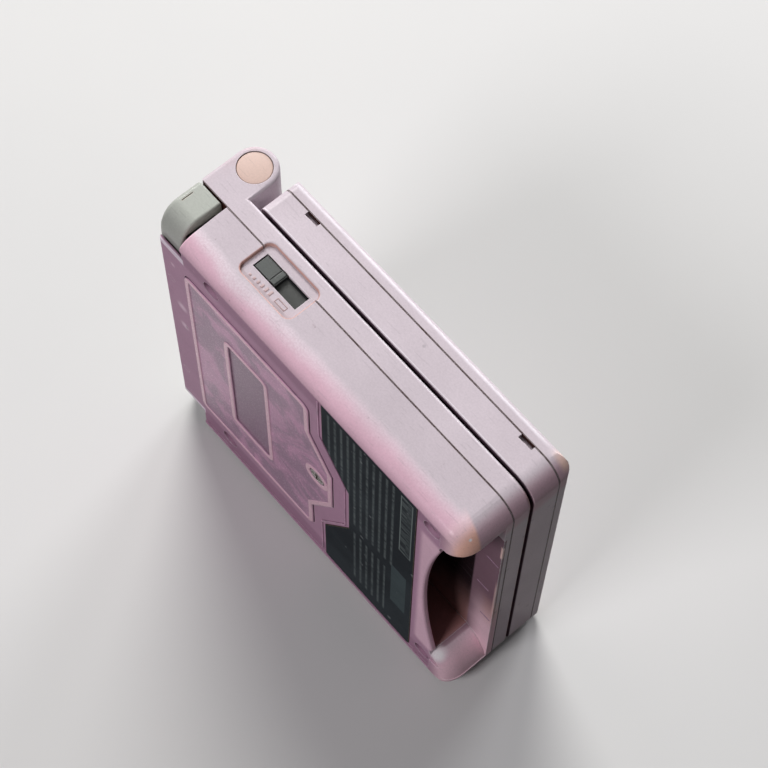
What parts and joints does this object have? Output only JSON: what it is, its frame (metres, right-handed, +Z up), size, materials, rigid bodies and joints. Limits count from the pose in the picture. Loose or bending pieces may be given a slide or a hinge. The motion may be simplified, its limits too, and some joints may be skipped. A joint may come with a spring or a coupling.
{
  "type": "clamshell handheld game console",
  "caption": "Square clamshell handheld console, closed, with a hinged screen lid, cartridge slot, shoulder buttons and side sliders, standing on its right side.",
  "frame": {"origin": "middle of the closed console's box, at the height of the side that it stands on", "axes": "+X from the hinge edge to the cartridge edge, +Y from the underside to the lid's outer face, +Z up from the right side to the left side"},
  "size_m": [0.0846, 0.025, 0.082],
  "materials": {
    "pearl": "pearl pink, satin",
    "screw_steel": "plated",
    "switch_can": "plated sheet",
    "port_shell": "moulded",
    "battery_wrap": "wrapped",
    "contact_brass": "plated",
    "label": "printed film",
    "black_plastic": "moulded",
    "board": "solder mask",
    "sage": "pale grey-green",
    "charcoal": "dark grey",
    "rubber": "moulded rubber",
    "led": "translucent",
    "cap": "peach",
    "flex": "polyimide",
    "lens": "clear with a dark border",
    "lcd": "display module"
  },
  "bodies": {
    "base": {"base_lower_shell": "pearl", "base_upper_shell": "pearl", "battery_cover": "pearl", "battery_cover_screw": "screw_steel", "base_screws": "screw_steel", "shoulder_pin_left": "screw_steel", "shoulder_pin_right": "screw_steel", "shoulder_spring_left": "screw_steel", "shoulder_spring_right": "screw_steel", "hinge_bush_left": "screw_steel", "hinge_clutch_right": "screw_steel", "volume_switch": "switch_can", "power_switch": "switch_can", "link_port": "port_shell", "charge_port": "port_shell", "battery_pack": "battery_wrap", "battery_contacts": "contact_brass", "connector_pins": "contact_brass", "rating_label": "label", "cartridge_connector": "black_plastic", "board_chips": "black_plastic", "shoulder_switch_left": "black_plastic", "shoulder_switch_right": "black_plastic", "light_switch": "black_plastic", "speaker": "black_plastic", "main_board": "board", "dpad_membrane": "rubber", "action_membrane": "rubber", "small_button_membrane": "rubber", "led_lenses": "led", "hinge_cap_left": "cap", "hinge_cap_right": "cap", "ribbon_tail": "flex"},
    "lid": {"lid_inner_shell": "pearl", "lid_outer_shell": "pearl", "screen_lens": "lens", "lcd_panel": "lcd", "display_ribbon": "flex", "lid_screws": "screw_steel", "lid_screw_pads": "rubber", "hinge_cam": "contact_brass"},
    "left_shoulder": {"shoulder_button_left": "sage"},
    "right_shoulder": {"shoulder_button_right": "sage"},
    "volume_knob": {"volume_slider": "charcoal"},
    "power_knob": {"power_slider": "charcoal"},
    "dpad_rocker": {"dpad_pivot": "sage"},
    "dpad_cross": {"dpad": "sage", "dpad_guard": "sage"},
    "a_key": {"button_a": "sage"},
    "b_key": {"button_b": "sage"},
    "start_key": {"start_button": "sage"},
    "select_key": {"select_button": "sage"},
    "light_key": {"light_button": "sage"}
  },
  "joints": [
    {"name": "lid_hinge", "type": "hinge", "parent": "base", "child": "lid", "pos_m": [-0.0377, 0.0079, 0.041], "axis": [0, 0, 1], "range_deg": [0, 170]},
    {"name": "left_shoulder_press", "type": "hinge", "parent": "base", "child": "left_shoulder", "pos_m": [-0.0391, -0.0065, 0.0613], "axis": [0, 1, 0], "range_deg": [0, 3.2], "stiffness_Nm_per_rad": 0.3, "springref_deg": -1.72},
    {"name": "right_shoulder_press", "type": "hinge", "parent": "base", "child": "right_shoulder", "pos_m": [-0.0391, -0.0065, 0.0207], "axis": [0, -1, 0], "range_deg": [0, 3.2], "stiffness_Nm_per_rad": 0.3, "springref_deg": -1.72},
    {"name": "volume_slide", "type": "slide", "parent": "base", "child": "volume_knob", "axis": [1, 0, 0], "range_m": [0, 0.0056]},
    {"name": "power_slide", "type": "slide", "parent": "base", "child": "power_knob", "axis": [1, 0, 0], "range_m": [0, 0.0036]},
    {"name": "dpad_rock_fore_aft", "type": "hinge", "parent": "base", "child": "dpad_rocker", "pos_m": [-0.0058, 0.00045, 0.062], "axis": [0, 0, 1], "range_deg": [-2.5, 2.5], "stiffness_Nm_per_rad": 0.08},
    {"name": "dpad_rock_side", "type": "hinge", "parent": "dpad_rocker", "child": "dpad_cross", "pos_m": [-0.0058, 0.00045, 0.062], "axis": [1, 0, 0], "range_deg": [-2.5, 2.5], "stiffness_Nm_per_rad": 0.08},
    {"name": "a_press", "type": "slide", "parent": "base", "child": "a_key", "axis": [0, -1, 0], "range_m": [0, 0.0006], "stiffness_N_per_m": 1500, "springref_m": -0.0002},
    {"name": "b_press", "type": "slide", "parent": "base", "child": "b_key", "axis": [0, -1, 0], "range_m": [0, 0.0006], "stiffness_N_per_m": 1500, "springref_m": -0.0002},
    {"name": "start_press", "type": "slide", "parent": "base", "child": "start_key", "axis": [0, -1, 0], "range_m": [0, 0.0006], "stiffness_N_per_m": 1500, "springref_m": -0.0002},
    {"name": "select_press", "type": "slide", "parent": "base", "child": "select_key", "axis": [0, -1, 0], "range_m": [0, 0.0006], "stiffness_N_per_m": 1500, "springref_m": -0.0002},
    {"name": "light_press", "type": "slide", "parent": "base", "child": "light_key", "axis": [0, -1, 0], "range_m": [0, 0.0006], "stiffness_N_per_m": 1500, "springref_m": -0.0002}
  ]
}
